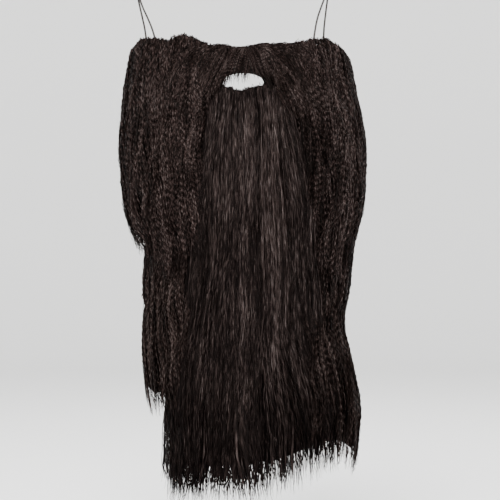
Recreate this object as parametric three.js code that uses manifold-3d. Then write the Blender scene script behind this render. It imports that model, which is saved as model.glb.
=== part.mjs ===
// A long black costume beard: tiers of hair locks on a curved cloth backing, with two elastic ear loops.
// Millimetres, +Z up. The front faces -Y and the origin is the middle of the mouth opening, on the backing's
// inner face, where it seats.
import * as THREE from 'three';
import { mergeVertices } from 'three/addons/utils/BufferGeometryUtils.js';
import Module from 'manifold-3d';

const wasm = await Module();
wasm.setup();

// Backing
const wall = 1.5; // cloth thickness
const halfWidth = 88; // middle of the mouth to the ear edge
const seatDepth = 85; // lips back to the ear edge
const topRise = 34; // mouth centre up to the top edge
const chinDrop = 72; // mouth centre down to the lower edge
const mouthWidth = 36;
const mouthHeight = 15;

// Hair
const hairSpread = 106; // half-width of the hair over the cheeks
const hairStand = 37; // how far the hair stands in front of the lips
const hairRise = 38; // mouth centre up to the highest hair
const hairLength = 350; // mouth centre down to the longest tips
const weftHeight = 5; // the stitched strip at a tier's top
const weftThickness = 2.2;
const lockWidth = 20; // lock widths are shares of this
const thinnest = 1.2; // a lock's thickness at its tip

// Fits
const clearance = 0.3; // between neighbouring pieces
const cutterReach = 28; // how far the mouth's cutter runs before and behind the seat
const blockRise = 1.3; // top of the space kept free of hair, in topRise

// Ear loops
const cordDiameter = 1.7;

// How finely the round forms are faceted
const backingColumns = 32;
const backingRows = 6;
const mouthSegments = 12;
const lockSides = 6;
const cordSides = 8;
const cordStep = 3; // in diameters
const directionStep = 0.02; // share of a lock's way over which its direction is taken

const quarterTurn = Math.PI / 2;

// The seat of the backing, from the chin (-1) up: at is a share of chinDrop below the mouth and of topRise
// above it, width of halfWidth, front and back of seatDepth.
const seatRows = [
  { at: -1, width: 0.64, front: 0.07, back: 0.86 },
  { at: -0.6, width: 0.79, front: 0.01, back: 0.93 },
  { at: -0.25, width: 0.91, front: 0, back: 0.98 },
  { at: 0, width: 0.955, front: 0, back: 1 },
  { at: 0.5, width: 0.985, front: -0.015, back: 1 },
  { at: 1.3, width: 1.01, front: -0.03, back: 1 },
];

// The back of the hanging hair, from the chin (0) to the hem (1): width is a share of halfWidth, front of
// hairStand before the lips, back of seatDepth.
const hangRows = [
  { at: 0, width: 0.66, front: -0.16, back: 0.84 },
  { at: 0.15, width: 0.68, front: 0.14, back: 0.56 },
  { at: 0.45, width: 0.7, front: 0.22, back: 0.3 },
  { at: 1, width: 0.66, front: 0.24, back: 0.16 },
];

// The outside of the hair, from the hem (-1) up: at is a share of hairLength below the mouth and of hairRise
// above it, left and right are shares of hairSpread, front of hairStand before the lips, back of seatDepth.
const coverRows = [
  { at: -1, left: 0.7, right: 0.93, front: 0.58, back: 0.14 },
  { at: -0.89, left: 0.74, right: 0.95, front: 0.7, back: 0.17 },
  { at: -0.8, left: 0.8, right: 0.955, front: 0.76, back: 0.2 },
  { at: -0.7, left: 0.81, right: 0.89, front: 0.84, back: 0.23 },
  { at: -0.61, left: 0.81, right: 0.83, front: 0.9, back: 0.26 },
  { at: -0.5, left: 0.81, right: 0.88, front: 0.95, back: 0.3 },
  { at: -0.41, left: 0.82, right: 0.91, front: 0.98, back: 0.38 },
  { at: -0.33, left: 0.91, right: 0.98, front: 1, back: 0.5 },
  { at: -0.28, left: 0.93, right: 1.01, front: 0.99, back: 0.58 },
  { at: -0.16, left: 0.965, right: 1.03, front: 0.9, back: 0.78 },
  { at: -0.07, left: 0.95, right: 1, front: 0.68, back: 0.92 },
  { at: 0, left: 0.925, right: 0.95, front: 0.46, back: 0.98 },
  { at: 0.6, left: 0.89, right: 0.91, front: 0.3, back: 0.99 },
  { at: 1, left: 0.87, right: 0.885, front: 0.22, back: 0.98 },
];

// The backing's edges from the middle (0) to the ear (1), as shares of topRise and chinDrop.
const edgeRows = [
  { at: 0, top: 0.76, bottom: 1 },
  { at: 0.25, top: 0.86, bottom: 0.99 },
  { at: 0.5, top: 0.96, bottom: 0.88 },
  { at: 0.72, top: 0.98, bottom: 0.66 },
  { at: 0.88, top: 0.86, bottom: 0.42 },
  { at: 1, top: 0.66, bottom: 0.26 },
];

// Each kind of surface.
const looks = {
  cloth: { color: 0x1b1716, roughness: 0.9 },
  moustache: { color: 0x2a211e, roughness: 0.5 },
  crimped: { color: 0x241c1a, roughness: 0.6 },
  under: { color: 0x1e1714, roughness: 0.55 },
  straight: { color: 0x2c2320, roughness: 0.4 },
  elastic: { color: 0x17110f, roughness: 0.7 },
};

// How a lock's width and depth change from its root (0) to its tip (1), as shares of their most: straight
// down, or fanning out on the way.
const straightTaper = [
  { at: 0, width: 0.95, depth: 0.5 },
  { at: 0.2, width: 1, depth: 1 },
  { at: 0.75, width: 0.92, depth: 0.9 },
  { at: 0.92, width: 0.55, depth: 0.55 },
  { at: 1, width: 0.12, depth: 0.15 },
];
const fanTaper = [
  { at: 0, width: 0.6, depth: 0.5 },
  { at: 0.2, width: 0.62, depth: 1 },
  { at: 0.8, width: 1, depth: 0.95 },
  { at: 0.93, width: 0.75, depth: 0.6 },
  { at: 1, width: 0.12, depth: 0.15 },
];

// A function that gives a table's columns, smoothed between its rows.
function smoothTable(rows) {
  const columns = Object.keys(rows[0]).filter((name) => name !== 'at');
  const places = rows.map((row) => row.at);
  const values = rows.flatMap((row) => columns.map((name) => row[name]));
  const curve = new THREE.CubicInterpolant(places, values, columns.length);
  return (at) => {
    const found = curve.evaluate(at);
    return Object.fromEntries(columns.map((name, i) => [name, found[i]]));
  };
}

const seatAt = smoothTable(seatRows);
const hangAt = smoothTable(hangRows);
const coverAt = smoothTable(coverRows);
const edgeAt = smoothTable(edgeRows);
const mix = THREE.MathUtils.lerp;

// A level's height: a share of the rise above the mouth, or of the drop below it.
const heightOf = (share, rise, drop) => share * (share > 0 ? rise : drop);

const shareOf = (height, rise, drop) => height / (height > 0 ? rise : drop);

// The half-oval that the backing's inner face follows at a height.
function seatSection(height) {
  const row = seatAt(shareOf(height, topRise, chinDrop));
  return { width: row.width * halfWidth, front: row.front * seatDepth, back: row.back * seatDepth };
}

// The half-oval at the back of the hair: outside the backing, and free below the chin.
function innerSection(height) {
  if (height >= -chinDrop) {
    const seat = seatSection(height);
    const off = wall + clearance;
    return { width: seat.width + off, front: seat.front - off, back: seat.back };
  }
  const row = hangAt((-chinDrop - height) / (hairLength - chinDrop));
  return { width: row.width * halfWidth, front: -row.front * hairStand, back: row.back * seatDepth };
}

// The half-oval at the outside of the hair, on the left or the right.
function outerSection(height, isLeft) {
  const row = coverAt(shareOf(height, hairRise, hairLength));
  const width = (isLeft ? row.left : row.right) * hairSpread;
  return { width, front: -row.front * hairStand, back: row.back * seatDepth };
}

// A point on a half-oval: angle 0 is the middle of the front, a quarter turn the ear.
function ovalPoint(section, angle, height) {
  const { width, front, back } = section;
  return new THREE.Vector3(width * Math.sin(angle), back - (back - front) * Math.cos(angle), height);
}

// A point in the hair, from its back (depth 0) to its outside (depth 1).
function hairPoint(angle, height, depth) {
  const inside = ovalPoint(innerSection(height), angle, height);
  const outside = ovalPoint(outerSection(height, angle < 0), angle, height);
  return inside.lerp(outside, depth);
}

// A solid from a closed three.js geometry.
function solidOf(geometry) {
  const bare = geometry.clone();
  bare.deleteAttribute('normal');
  bare.deleteAttribute('uv');
  const merged = mergeVertices(bare, 1e-4);
  return new wasm.Manifold(
    new wasm.Mesh({
      numProp: 3,
      vertProperties: new Float32Array(merged.attributes.position.array),
      triVerts: new Uint32Array(merged.index.array),
    }),
  );
}

const joined = (solids) => solids.reduce((all, next) => all.add(next));

// The largest body of a solid, without loose crumbs and closed pockets.
function mainBody(solid) {
  return solid.decompose().reduce((best, body) => (body.volume() > best.volume() ? body : best));
}

// A closed geometry through rings of points, each ring going round the same way.
function ringLoft(rings) {
  const count = rings[0].length;
  const points = rings.flat().flatMap((point) => point.toArray());
  const index = [];
  for (let row = 0; row + 1 < rings.length; row++) {
    for (let i = 0; i < count; i++) {
      const a = row * count + i;
      const b = row * count + ((i + 1) % count);
      index.push(a, b, a + count, b, b + count, a + count);
    }
  }
  const last = (rings.length - 1) * count;
  for (let i = 0, j = count - 1; i < j - 1; i++, j--) {
    index.push(j, i + 1, i, last + i, last + i + 1, last + j);
    if (i + 1 < j - 1) index.push(j, j - 1, i + 1, last + i + 1, last + j - 1, last + j);
  }
  const geometry = new THREE.BufferGeometry();
  geometry.setAttribute('position', new THREE.Float32BufferAttribute(points, 3));
  geometry.setIndex(index);
  return geometry;
}

// A band of cloth along the half-ovals between two angles, from one height line to another.
function bandGeometry(from, to, topOf, bottomOf, near, far, rows) {
  const step = (2 * quarterTurn) / backingColumns;
  const columns = Math.max(1, Math.round((to - from) / step));
  const rings = [];
  for (let column = 0; column <= columns; column++) {
    const angle = mix(from, to, column / columns);
    const side = (off) =>
      Array.from({ length: rows + 1 }, (_, row) => {
        const height = mix(bottomOf(angle), topOf(angle), row / rows);
        const seat = seatSection(height);
        const section = { width: seat.width + off, front: seat.front - off, back: seat.back };
        return ovalPoint(section, angle, height);
      });
    rings.push([...side(near), ...side(far).reverse()]);
  }
  return ringLoft(rings);
}

const edgeShare = (angle) => Math.min(1, Math.abs(angle) / quarterTurn);
const backingTop = (angle) => edgeAt(edgeShare(angle)).top * topRise;
const backingBottom = (angle) => -edgeAt(edgeShare(angle)).bottom * chinDrop;

// The mouth opening's cutter, a rounded slot that runs through the front wall.
function mouthCutter() {
  const half = mouthWidth / 2;
  const outline = new THREE.Shape();
  outline.absellipse(0, 0, half, mouthHeight / 2, 0, 2 * Math.PI, false, 0);
  const slot = new THREE.ExtrudeGeometry(outline, {
    depth: 2 * cutterReach,
    bevelEnabled: false,
    curveSegments: mouthSegments,
  });
  slot.rotateX(quarterTurn);
  slot.translate(0, cutterReach, 0);
  return solidOf(slot);
}

function makeBacking() {
  const shell = bandGeometry(-quarterTurn, quarterTurn, backingTop, backingBottom, 0, wall, backingRows);
  return solidOf(shell).subtract(mouthCutter());
}

// One lock as a closed loft. It fills the hair from the under to the over share of its depth.
function lockGeometry(lock, sheet, grow) {
  const layersAt = smoothTable(sheet.layers);
  const taperAt = smoothTable(sheet.taper);
  const from = heightOf(lock.from, hairRise, hairLength);
  const to = heightOf(lock.to, hairRise, hairLength);
  const inHair = (t, depth) => {
    const angle = mix(lock.root, lock.tip, t ** sheet.sweep) * quarterTurn;
    return hairPoint(angle, mix(from, to, t ** sheet.fall), depth);
  };
  const middleAt = (t) => {
    const { under, over } = layersAt(t);
    return inHair(t, (under + over) / 2);
  };
  const rings = [];
  for (let step = 0; step <= sheet.steps; step++) {
    const t = step / sheet.steps;
    const { under, over } = layersAt(t);
    const taper = taperAt(t);
    const outward = inHair(t, over).sub(inHair(t, under));
    const depth = Math.max(thinnest, outward.length() * taper.depth) / 2 + grow;
    const width = (lock.width * lockWidth * taper.width) / 2 + grow;
    const next = middleAt(Math.min(1, t + directionStep));
    const ahead = next.sub(middleAt(Math.max(0, t - directionStep))).normalize();
    const across = outward.cross(ahead).normalize();
    const out = ahead.clone().cross(across);
    const overshoot = step === 0 ? -grow : step === sheet.steps ? grow : 0;
    const middle = middleAt(t).addScaledVector(ahead, overshoot);
    const ring = [];
    for (let i = 0; i < lockSides; i++) {
      const turn = (i / lockSides) * 2 * Math.PI;
      const point = middle.clone().addScaledVector(across, Math.cos(turn) * width);
      ring.push(point.addScaledVector(out, Math.sin(turn) * depth));
    }
    rings.push(ring);
  }
  return ringLoft(rings);
}

// A tier: its weft strip on the backing with its locks fused to it. With grow it is fatter all round.
function tierSolid(tier, grow = 0) {
  const [from, to] = tier.span.map((share) => share * quarterTurn);
  const lineAt = (angle) => heightOf(mix(...tier.weft, edgeShare(angle)), topRise, chinDrop);
  const top = (angle) => lineAt(angle) + grow;
  const bottom = (angle) => lineAt(angle) - weftHeight - grow;
  const near = wall + clearance - grow;
  const far = wall + clearance + weftThickness + grow;
  const strip = bandGeometry(from - grow / halfWidth, to + grow / halfWidth, top, bottom, near, far, 1);
  const locks = tier.sheets.flatMap((sheet) => sheet.locks.map((lock) => lockGeometry(lock, sheet, grow)));
  return joined([strip, ...locks].map(solidOf));
}

// How deep in the hair each kind of lock lies from its root (0) to its tip (1): under is its back and over
// its front, from the backing (0) to the outside (1).
const moustacheLayers = [
  { at: 0, under: 0, over: 0.95 },
  { at: 0.3, under: 0.35, over: 1 },
  { at: 1, under: 0.6, over: 0.95 },
];
const cheekLayers = [
  { at: 0, under: 0.05, over: 0.95 },
  { at: 0.25, under: 0.25, over: 1 },
  { at: 0.55, under: 0.5, over: 1 },
  { at: 1, under: 0.6, over: 0.9 },
];
const underLayers = [
  { at: 0, under: 0, over: 0.4 },
  { at: 0.3, under: 0.05, over: 0.48 },
  { at: 0.5, under: 0.1, over: 0.85 },
  { at: 0.7, under: 0.15, over: 1 },
  { at: 1, under: 0.35, over: 0.85 },
];
const chinFrontLayers = [
  { at: 0, under: 0.1, over: 0.9 },
  { at: 0.2, under: 0.45, over: 1 },
  { at: 1, under: 0.45, over: 0.95 },
];
const chinBackLayers = [
  { at: 0, under: 0, over: 0.5 },
  { at: 0.2, under: 0.02, over: 0.5 },
  { at: 1, under: 0.1, over: 0.6 },
];

// Each tier's locks. span is its strip's reach, in quarter turns, and weft the strip's height at the middle
// and at the ear, as shares of the backing's rise or drop. root and tip are in quarter turns, from and to are
// shares of the hair's rise or length, and width is a share of lockWidth. sweep and fall bend a lock's way.
const tiers = {
  moustache_left: {
    look: 'moustache',
    span: [-0.26, -0.012],
    weft: [0.73, 0.98],
    sheets: [
      {
        layers: moustacheLayers,
        taper: straightTaper,
        sweep: 0.75,
        fall: 1.5,
        steps: 5,
        locks: [
          { root: -0.035, tip: -0.2, from: 0.5, to: -0.07, width: 0.5 },
          { root: -0.05, tip: -0.29, from: 0.66, to: -0.09, width: 0.5 },
          { root: -0.1, tip: -0.36, from: 0.75, to: -0.109, width: 0.6 },
          { root: -0.155, tip: -0.44, from: 0.82, to: -0.129, width: 0.65 },
          { root: -0.22, tip: -0.52, from: 0.86, to: -0.143, width: 0.7 },
        ],
      },
    ],
  },
  moustache_right: {
    look: 'moustache',
    span: [0.012, 0.27],
    weft: [0.73, 0.98],
    sheets: [
      {
        layers: moustacheLayers,
        taper: straightTaper,
        sweep: 0.75,
        fall: 1.5,
        steps: 5,
        locks: [
          { root: 0.035, tip: 0.19, from: 0.52, to: -0.07, width: 0.5 },
          { root: 0.055, tip: 0.29, from: 0.68, to: -0.093, width: 0.5 },
          { root: 0.105, tip: 0.39, from: 0.76, to: -0.118, width: 0.6 },
          { root: 0.16, tip: 0.49, from: 0.8, to: -0.14, width: 0.7 },
          { root: 0.23, tip: 0.59, from: 0.83, to: -0.15, width: 0.7 },
        ],
      },
    ],
  },
  chin_fall: {
    look: 'straight',
    span: [-0.29, 0.3],
    weft: [-0.17, -0.2],
    sheets: [
      {
        layers: chinFrontLayers,
        taper: fanTaper,
        sweep: 1.4,
        fall: 1,
        steps: 7,
        locks: [
          { root: -0.24, tip: -0.74, from: -0.038, to: -1, width: 1 },
          { root: -0.17, tip: -0.53, from: -0.036, to: -0.975, width: 1 },
          { root: -0.1, tip: -0.33, from: -0.034, to: -1, width: 1 },
          { root: -0.03, tip: -0.14, from: -0.033, to: -0.985, width: 1 },
          { root: 0.04, tip: 0.04, from: -0.033, to: -0.995, width: 1 },
          { root: 0.11, tip: 0.23, from: -0.034, to: -0.97, width: 1 },
          { root: 0.18, tip: 0.43, from: -0.036, to: -0.94, width: 1 },
          { root: 0.25, tip: 0.63, from: -0.038, to: -0.905, width: 0.95 },
        ],
      },
      {
        layers: chinBackLayers,
        taper: fanTaper,
        sweep: 1.2,
        fall: 1,
        steps: 6,
        locks: [
          { root: -0.23, tip: -0.84, from: -0.037, to: -0.995, width: 1.6 },
          { root: -0.07, tip: -0.28, from: -0.035, to: -0.985, width: 1.7 },
          { root: 0.07, tip: 0.14, from: -0.035, to: -0.985, width: 1.7 },
          { root: 0.23, tip: 0.54, from: -0.037, to: -0.92, width: 1.7 },
        ],
      },
    ],
  },
  cheek_fall_left: {
    look: 'crimped',
    span: [-0.99, -0.31],
    weft: [0.86, 0.64],
    sheets: [
      {
        layers: cheekLayers,
        taper: straightTaper,
        sweep: 1,
        fall: 1,
        steps: 6,
        locks: [
          { root: -0.955, tip: -0.93, from: 0.74, to: -0.335, width: 0.95 },
          { root: -0.835, tip: -0.83, from: 0.9, to: -0.365, width: 1.05 },
          { root: -0.715, tip: -0.725, from: 0.97, to: -0.39, width: 1.05 },
          { root: -0.595, tip: -0.62, from: 1, to: -0.46, width: 1.05 },
          { root: -0.475, tip: -0.52, from: 1, to: -0.46, width: 1.05 },
          { root: -0.35, tip: -0.42, from: 0.94, to: -0.4, width: 1.2 },
        ],
      },
    ],
  },
  cheek_fall_right: {
    look: 'crimped',
    span: [0.31, 0.99],
    weft: [0.86, 0.64],
    sheets: [
      {
        layers: cheekLayers,
        taper: straightTaper,
        sweep: 1,
        fall: 1,
        steps: 6,
        locks: [
          { root: 0.35, tip: 0.43, from: 0.9, to: -0.4, width: 1.25 },
          { root: 0.475, tip: 0.54, from: 0.93, to: -0.45, width: 1.05 },
          { root: 0.595, tip: 0.64, from: 0.97, to: -0.5, width: 1.05 },
          { root: 0.715, tip: 0.74, from: 0.96, to: -0.54, width: 1.05 },
          { root: 0.835, tip: 0.84, from: 0.89, to: -0.56, width: 1.05 },
          { root: 0.955, tip: 0.93, from: 0.74, to: -0.5, width: 0.95 },
        ],
      },
    ],
  },
  under_fall_left: {
    look: 'under',
    span: [-0.92, -0.42],
    weft: [-0.5, -0.12],
    sheets: [
      {
        layers: underLayers,
        taper: straightTaper,
        sweep: 1,
        fall: 1,
        steps: 6,
        locks: [
          { root: -0.86, tip: -0.9, from: -0.06, to: -0.745, width: 1 },
          { root: -0.73, tip: -0.75, from: -0.07, to: -0.79, width: 1.1 },
          { root: -0.6, tip: -0.6, from: -0.08, to: -0.81, width: 1.1 },
          { root: -0.48, tip: -0.46, from: -0.09, to: -0.86, width: 1.1 },
        ],
      },
    ],
  },
  under_fall_right: {
    look: 'under',
    span: [0.42, 0.92],
    weft: [-0.5, -0.12],
    sheets: [
      {
        layers: underLayers,
        taper: straightTaper,
        sweep: 1.2,
        fall: 1,
        steps: 6,
        locks: [
          { root: 0.48, tip: 0.54, from: -0.09, to: -0.92, width: 1.1 },
          { root: 0.6, tip: 0.68, from: -0.08, to: -0.9, width: 1.1 },
          { root: 0.73, tip: 0.82, from: -0.07, to: -0.905, width: 1.1 },
          { root: 0.86, tip: 0.96, from: -0.06, to: -0.895, width: 1 },
        ],
      },
    ],
  },
};

// Which tiers lie over each tier and press their shape into it.
const coveredBy = {
  moustache_left: [],
  moustache_right: ['moustache_left'],
  chin_fall: ['moustache_left', 'moustache_right'],
  cheek_fall_left: ['moustache_left', 'chin_fall'],
  cheek_fall_right: ['moustache_right', 'chin_fall'],
  under_fall_left: ['chin_fall', 'cheek_fall_left'],
  under_fall_right: ['chin_fall', 'cheek_fall_right'],
};

// The space inside the backing and the cloth itself, which hair stays out of.
function seatBlock() {
  const off = wall + clearance;
  const rings = [];
  for (let row = 0; row <= backingRows; row++) {
    const height = mix(-chinDrop, blockRise * topRise, row / backingRows);
    const seat = seatSection(height);
    const section = { width: seat.width + off, front: seat.front - off, back: seat.back };
    const ring = [];
    for (let column = 0; column <= backingColumns; column++) {
      ring.push(ovalPoint(section, mix(-quarterTurn, quarterTurn, column / backingColumns), height));
    }
    rings.push(ring);
  }
  return solidOf(ringLoft(rings));
}

// The elastic's way on each side, point by point: up from inside the top edge, over the ear, and down to the
// rear corner.
const loopRoutes = {
  ear_loop_left: [
    [-73.5, 40.8, 22],
    [-74.1, 40.7, 33],
    [-74.6, 43.5, 40],
    [-77.4, 51, 51],
    [-81, 59, 61],
    [-84.6, 66.5, 70],
    [-88, 75, 80.5],
    [-90, 84, 89.5],
    [-91, 93, 94],
    [-90.5, 102, 92],
    [-88.5, 107.5, 83],
    [-85.8, 108, 71],
    [-83, 105.5, 58],
    [-81.4, 101, 46],
    [-81.6, 95, 37],
    [-83.6, 88.5, 31],
    [-85.4, 82.5, 26],
    [-85.6, 80, 20],
    [-84.8, 79, 13],
  ],
  ear_loop_right: [
    [63.1, 27.2, 22],
    [63.7, 27, 33],
    [64.3, 30, 40],
    [66.6, 38.5, 51],
    [69.6, 48, 61.5],
    [73.6, 58, 71.5],
    [78, 69, 81.5],
    [81.6, 80, 90],
    [84, 90, 94.5],
    [85, 100, 93],
    [84.5, 106.5, 84],
    [83, 108, 71],
    [81.4, 106, 58],
    [80.8, 101.5, 47],
    [82.4, 96, 39.5],
    [85, 90, 34],
    [86.4, 83.5, 27.5],
    [85.8, 80, 20],
    [84.8, 79, 13],
  ],
};

function cordGeometry(points) {
  const route = new THREE.CatmullRomCurve3(points.map((point) => new THREE.Vector3(...point)));
  const section = new THREE.Shape();
  for (let i = 0; i < cordSides; i++) {
    const turn = (i / cordSides) * 2 * Math.PI;
    const place = [(Math.cos(turn) * cordDiameter) / 2, (Math.sin(turn) * cordDiameter) / 2];
    if (i === 0) section.moveTo(...place);
    else section.lineTo(...place);
  }
  const steps = Math.round(route.getLength() / (cordStep * cordDiameter));
  return new THREE.ExtrudeGeometry(section, { steps, extrudePath: route, bevelEnabled: false });
}

function meshOf(name, solid, look) {
  const { vertProperties, triVerts } = solid.getMesh();
  const geometry = new THREE.BufferGeometry();
  geometry.setAttribute('position', new THREE.BufferAttribute(vertProperties, 3));
  geometry.setIndex(new THREE.BufferAttribute(triVerts, 1));
  geometry.computeVertexNormals();
  const material = new THREE.MeshStandardMaterial({ flatShading: true, metalness: 0, ...looks[look] });
  const mesh = new THREE.Mesh(geometry, material);
  mesh.name = name;
  return mesh;
}

const group = new THREE.Group();
group.add(meshOf('backing', makeBacking(), 'cloth'));
const block = seatBlock();
const grown = {};
for (const [name, tier] of Object.entries(tiers)) grown[name] = tierSolid(tier, clearance);
for (const [name, tier] of Object.entries(tiers)) {
  const covers = coveredBy[name].map((other) => grown[other]);
  const shaped = covers.reduce((solid, other) => solid.subtract(other), tierSolid(tier).subtract(block));
  group.add(meshOf(name, mainBody(shaped), tier.look));
}

for (const [name, points] of Object.entries(loopRoutes)) {
  group.add(meshOf(name, solidOf(cordGeometry(points)), 'elastic'));
}

export default group;
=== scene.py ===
import math

import bpy
import numpy as np
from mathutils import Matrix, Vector


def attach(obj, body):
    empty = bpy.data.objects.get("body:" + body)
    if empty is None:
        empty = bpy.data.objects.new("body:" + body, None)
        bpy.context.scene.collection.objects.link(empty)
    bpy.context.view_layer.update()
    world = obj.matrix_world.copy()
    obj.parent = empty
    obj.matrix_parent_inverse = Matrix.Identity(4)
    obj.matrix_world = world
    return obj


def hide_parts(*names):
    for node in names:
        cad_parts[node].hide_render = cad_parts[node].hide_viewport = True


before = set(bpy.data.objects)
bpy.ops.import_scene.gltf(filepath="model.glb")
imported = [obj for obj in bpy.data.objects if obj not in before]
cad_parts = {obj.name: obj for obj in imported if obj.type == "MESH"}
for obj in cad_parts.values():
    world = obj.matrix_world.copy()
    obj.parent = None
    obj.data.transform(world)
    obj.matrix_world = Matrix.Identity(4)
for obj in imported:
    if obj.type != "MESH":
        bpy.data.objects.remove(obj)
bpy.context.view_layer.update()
quarterTurn = math.pi / 2
print("frame loaded")

# Camera: it looks at the worn beard from the front, a little from its left-hand edge.
cameraPlace = {
    "azimuth": -4,
    "distance": 1.8,
    "aim": (0.006, 0, -0.145),
    "widthSeen": 0.4315,  # at the mouth, in metres
    "sensor": 36,
}


def addCamera(place):
    turn = math.radians(place["azimuth"])
    back = Vector((math.sin(turn), -math.cos(turn), 0))
    data = bpy.data.cameras.new("camera")
    data.sensor_width = place["sensor"]
    data.lens = place["sensor"] * place["distance"] / place["widthSeen"]
    data.clip_end = 30
    made = bpy.data.objects.new("camera", data)
    made.location = Vector(place["aim"]) + back * place["distance"]
    made.rotation_euler = (-back).to_track_quat("-Z", "Y").to_euler()
    bpy.context.scene.collection.objects.link(made)
    bpy.context.scene.camera = made


addCamera(cameraPlace)


# Shader maths: a value in a material that ordinary operators work on.
class Value:
    def __init__(self, finish, socket):
        self.finish = finish
        self.socket = socket

    def maths(self, operation, first, second):
        return self.finish.node("ShaderNodeMath", {"operation": operation}, {0: first, 1: second})

    def __add__(self, other):
        return self.maths("ADD", self, other)

    def __radd__(self, other):
        return self.maths("ADD", other, self)

    def __sub__(self, other):
        return self.maths("SUBTRACT", self, other)

    def __rsub__(self, other):
        return self.maths("SUBTRACT", other, self)

    def __mul__(self, other):
        return self.maths("MULTIPLY", self, other)

    def __rmul__(self, other):
        return self.maths("MULTIPLY", other, self)

    def __pow__(self, other):
        return self.maths("POWER", self, other)

    def __rpow__(self, other):
        return self.maths("POWER", other, self)


# A material with one Principled shader, and the nodes that feed it.
class Finish:
    def __init__(self, name, constants):
        self.material = bpy.data.materials.new(name)
        self.material.use_nodes = True
        self.tree = self.material.node_tree
        self.shader = self.tree.nodes["Principled BSDF"]
        for key, value in constants.items():
            self.shader.inputs[key].default_value = value

    # kind is the node's type. Its settings come first, then its sockets' values or links.
    def node(self, kind, settings=None, values=None, output=0):
        made = self.tree.nodes.new(kind)
        for key, value in (settings or {}).items():
            if key == "stops":
                ramp = made.color_ramp.elements
                while len(ramp) < len(value):
                    ramp.new(0.5)
                for stop, (place, colour) in zip(ramp, value):
                    stop.position = place
                    stop.color = (*colour, 1)
            else:
                setattr(made, key, value)
        for key, value in (values or {}).items():
            self.put(made.inputs[key], value)
        return Value(self, made.outputs[output])

    def put(self, socket, value):
        if isinstance(value, Value):
            self.tree.links.new(value.socket, socket)
        else:
            socket.default_value = value

    def feed(self, key, value):
        self.put(self.shader.inputs[key], value)

    def split(self, vector):
        first = self.node("ShaderNodeSeparateXYZ", None, {0: vector})
        return [Value(self, output) for output in first.socket.node.outputs]

    def mapXY(self, name):
        return self.split(self.node("ShaderNodeUVMap", {"uv_map": name}))[:2]

    def sine(self, value):
        return self.node("ShaderNodeMath", {"operation": "SINE"}, {0: value})

    def vector(self, x, y, z=0.0):
        return self.node("ShaderNodeCombineXYZ", None, {0: x, 1: y, 2: z})

    def noise(self, vector, scale, detail=2.0, roughness=0.5):
        values = {"Vector": vector, "Scale": scale, "Detail": detail, "Roughness": roughness}
        return self.node("ShaderNodeTexNoise", None, values)

    def ramp(self, value, stops):
        return self.node("ShaderNodeValToRGB", {"stops": stops}, {0: value})

    def bump(self, height, strength, distance):
        values = {"Height": height, "Strength": strength, "Distance": distance}
        return self.node("ShaderNodeBump", None, values)


# Gathers points, faces and map places, and makes one mesh of them.
class Bundle:
    def __init__(self):
        self.points, self.faces, self.places, self.crests, self.count = [], [], [], [], 0

    # places are a strand's number and the length run along it, and the last argument the painted light
    # or shade at each point and its share of the way.
    def add(self, points, faces, places, crests=None):
        self.points.append(points.reshape(-1, 3))
        self.places.append(places.reshape(-1, 2))
        if crests is None:
            crests = np.full((len(self.points[-1]), 2), 0.5)
        self.crests.append(crests.reshape(-1, 2))
        self.faces += [group + self.count for group in faces]
        self.count += len(self.points[-1])

    def piece(self, name, finish, smooth=False):
        corners = np.concatenate([group.ravel() for group in self.faces]).astype(np.int32)
        sizes = np.concatenate([np.full(len(group), group.shape[1]) for group in self.faces])
        starts = (np.cumsum(sizes) - sizes).astype(np.int32)
        data = bpy.data.meshes.new(name)
        data.vertices.add(self.count)
        data.vertices.foreach_set("co", np.concatenate(self.points).astype(np.float32).ravel())
        data.loops.add(len(corners))
        data.loops.foreach_set("vertex_index", corners)
        data.polygons.add(len(starts))
        data.polygons.foreach_set("loop_start", starts)
        data.polygons.foreach_set("use_smooth", np.full(len(starts), smooth))
        for layerName, values in (("strand", self.places), ("crest", self.crests)):
            layer = data.uv_layers.new(name=layerName)
            layer.data.foreach_set("uv", np.concatenate(values)[corners].astype(np.float32).ravel())
        data.update(calc_edges=True)
        data.validate()
        data.materials.append(finish.material)
        made = bpy.data.objects.new(name, data)
        bpy.context.scene.collection.objects.link(made)
        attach(made, "root")
        print(name, int((sizes - 2).sum()), "triangles")
        return made


def unit(vectors):
    return vectors / np.maximum(np.linalg.norm(vectors, axis=-1, keepdims=True), 1e-12)


# Ear loops: thin round elastic from inside the top edge, up, over and down to the rear corner. The route's
# points are in millimetres, as in the part.
loops = {
    "diameter": 0.0017,
    "sides": 12,
    "smoothing": 5,  # steps between two points of the route
    "colour": (0.012, 0.009, 0.008),
    "dark": 0.45,  # shares of the colour: painted shade in the braid's grooves, painted highlight on its ridges
    "light": 1.9,
    "braid": (7000, 12.6),  # the braid's wave in a metre and once round, in radians
    "routes": {
        "left": [
            (-73.5, 40.8, 22), (-74.1, 40.7, 33), (-74.6, 43.5, 40), (-77.4, 51, 51), (-81, 59, 61),
            (-84.6, 66.5, 70), (-88, 75, 80.5), (-90, 84, 89.5), (-91, 93, 94), (-90.5, 102, 92),
            (-88.5, 107.5, 83), (-85.8, 108, 71), (-83, 105.5, 58), (-81.4, 101, 46), (-81.6, 95, 37),
            (-83.6, 88.5, 31), (-85.4, 82.5, 26), (-85.6, 80, 20), (-84.8, 79, 13),
        ],
        "right": [
            (63.1, 27.2, 22), (63.7, 27, 33), (64.3, 30, 40), (66.6, 38.5, 51), (69.6, 48, 61.5),
            (73.6, 58, 71.5), (78, 69, 81.5), (81.6, 80, 90), (84, 90, 94.5), (85, 100, 93),
            (84.5, 106.5, 84), (83, 108, 71), (81.4, 106, 58), (80.8, 101.5, 47), (82.4, 96, 39.5),
            (85, 90, 34), (86.4, 83.5, 27.5), (85.8, 80, 20), (84.8, 79, 13),
        ],
    },
}


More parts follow.
